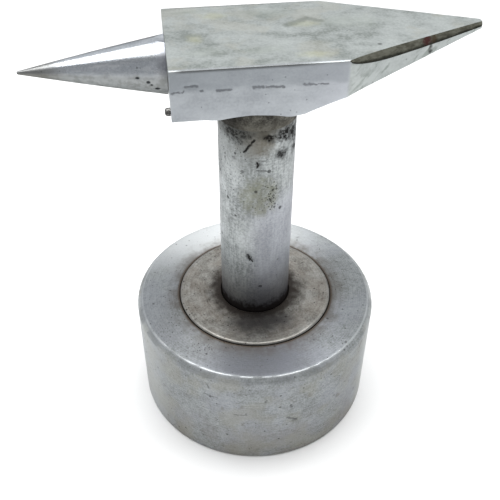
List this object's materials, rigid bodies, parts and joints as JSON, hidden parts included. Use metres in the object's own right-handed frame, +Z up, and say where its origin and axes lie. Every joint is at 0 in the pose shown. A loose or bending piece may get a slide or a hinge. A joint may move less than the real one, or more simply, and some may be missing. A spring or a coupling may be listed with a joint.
{
  "type": "bench anvil",
  "caption": "Small steel bench anvil: flat face with a tapered beak and a round conical horn, on a round post fixed to a heavy turned round base.",
  "frame": {"origin": "centre of the base's underside, in the plane that the anvil stands on", "axes": "+Z up along the post, +X along the head towards the flat beak, -X towards the round horn"},
  "size_m": [0.0924, 0.06, 0.0993],
  "materials": {
    "base_steel": "satin turned steel with fine concentric marks, light grime and faint brown stains",
    "flange_steel": "worn turned steel, brownish grime towards the post",
    "post_steel": "aged satin bar with black pits and an olive brown speckled patch",
    "head_steel": "ground tool steel, fine grain, faint yellow stains, dark ground bevel with rust spots",
    "horn_steel": "polished steel with fine turning marks and small dark pits near its base",
    "weld_metal": "rough dark weld metal, partly ground",
    "black_screw": "black oxide",
    "dark_screw": "dark worn steel",
    "bright_hardware": "plain bright steel"
  },
  "bodies": {
    "root": {"base_block": "base_steel", "foot_flange": "flange_steel", "post": "post_steel", "hold_down_screw": "black_screw", "spring_washer": "bright_hardware", "head_block": "head_steel", "round_horn": "horn_steel", "horn_stud": "bright_hardware", "weld_bead": "weld_metal", "end_screw": "dark_screw"}
  },
  "joints": []
}
